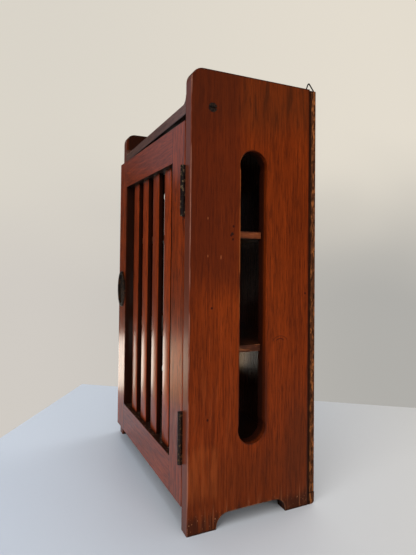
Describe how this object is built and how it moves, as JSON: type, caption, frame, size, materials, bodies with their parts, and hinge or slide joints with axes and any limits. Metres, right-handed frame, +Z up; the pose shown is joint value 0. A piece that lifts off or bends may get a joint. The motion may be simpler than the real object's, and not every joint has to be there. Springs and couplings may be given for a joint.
{
  "type": "hanging wall cabinet",
  "caption": "Small hanging wall cabinet with slotted sides on shaped feet, two inner shelves, and an inset slatted door on butt hinges with an oval pull.",
  "frame": {"origin": "middle of the bounding box in plan, at the level of the feet", "axes": "+X to the right seen from the front, +Y towards the wall, +Z up"},
  "size_m": [0.276, 0.1625, 0.4633],
  "materials": {
    "side_wood": "red-brown stain over pine, worn satin varnish",
    "top_wood": "red-brown stain, worn satin varnish",
    "shelf_wood": "thin red-brown stain, dull",
    "back_wood": "rough-sawn board, dark stain on the edges",
    "door_wood": "red-brown stain, satin varnish",
    "slat_wood": "red-brown stain, satin varnish",
    "pull_finish": "oxidised almost black, rubbed on the rim",
    "screw_steel": "dulled and darkened",
    "hinge_steel": "brassed steel, worn and tarnished",
    "nail_iron": "dark, oxidised",
    "hanger_wire": "dark drawn wire",
    "hanger_brass": "dull brass"
  },
  "bodies": {
    "carcass": {"back_board": "back_wood", "back_nails": "nail_iron", "back_strip": "back_wood", "bottom_board": "shelf_wood", "carcass_screws": "screw_steel", "front_rail": "top_wood", "hanger_left_plate": "hanger_brass", "hanger_left_wire": "hanger_wire", "hanger_right_plate": "hanger_brass", "hanger_right_wire": "hanger_wire", "hanger_screws": "screw_steel", "hinge_lower_pin": "hinge_steel", "hinge_lower_side_leaf": "hinge_steel", "hinge_screws_side": "screw_steel", "hinge_upper_pin": "hinge_steel", "hinge_upper_side_leaf": "hinge_steel", "shelf_lower": "shelf_wood", "shelf_nails": "nail_iron", "shelf_upper": "shelf_wood", "side_left": "side_wood", "side_right": "side_wood", "top_board": "top_wood"},
    "door": {"door_rail_bottom": "door_wood", "door_rail_top": "door_wood", "door_slat_1": "slat_wood", "door_slat_2": "slat_wood", "door_slat_3": "slat_wood", "door_slat_4": "slat_wood", "door_stile_free": "door_wood", "door_stile_hinge": "door_wood", "hinge_upper_door_leaf": "hinge_steel", "hinge_lower_door_leaf": "hinge_steel", "hinge_screws_door": "screw_steel", "pull": "pull_finish", "pull_nails": "nail_iron"}
  },
  "joints": [
    {"name": "door_swing", "type": "hinge", "parent": "carcass", "child": "door", "pos_m": [0.123, -0.07248, 0.209], "axis": [0, 0, 1], "range_deg": [-2, 176]}
  ]
}
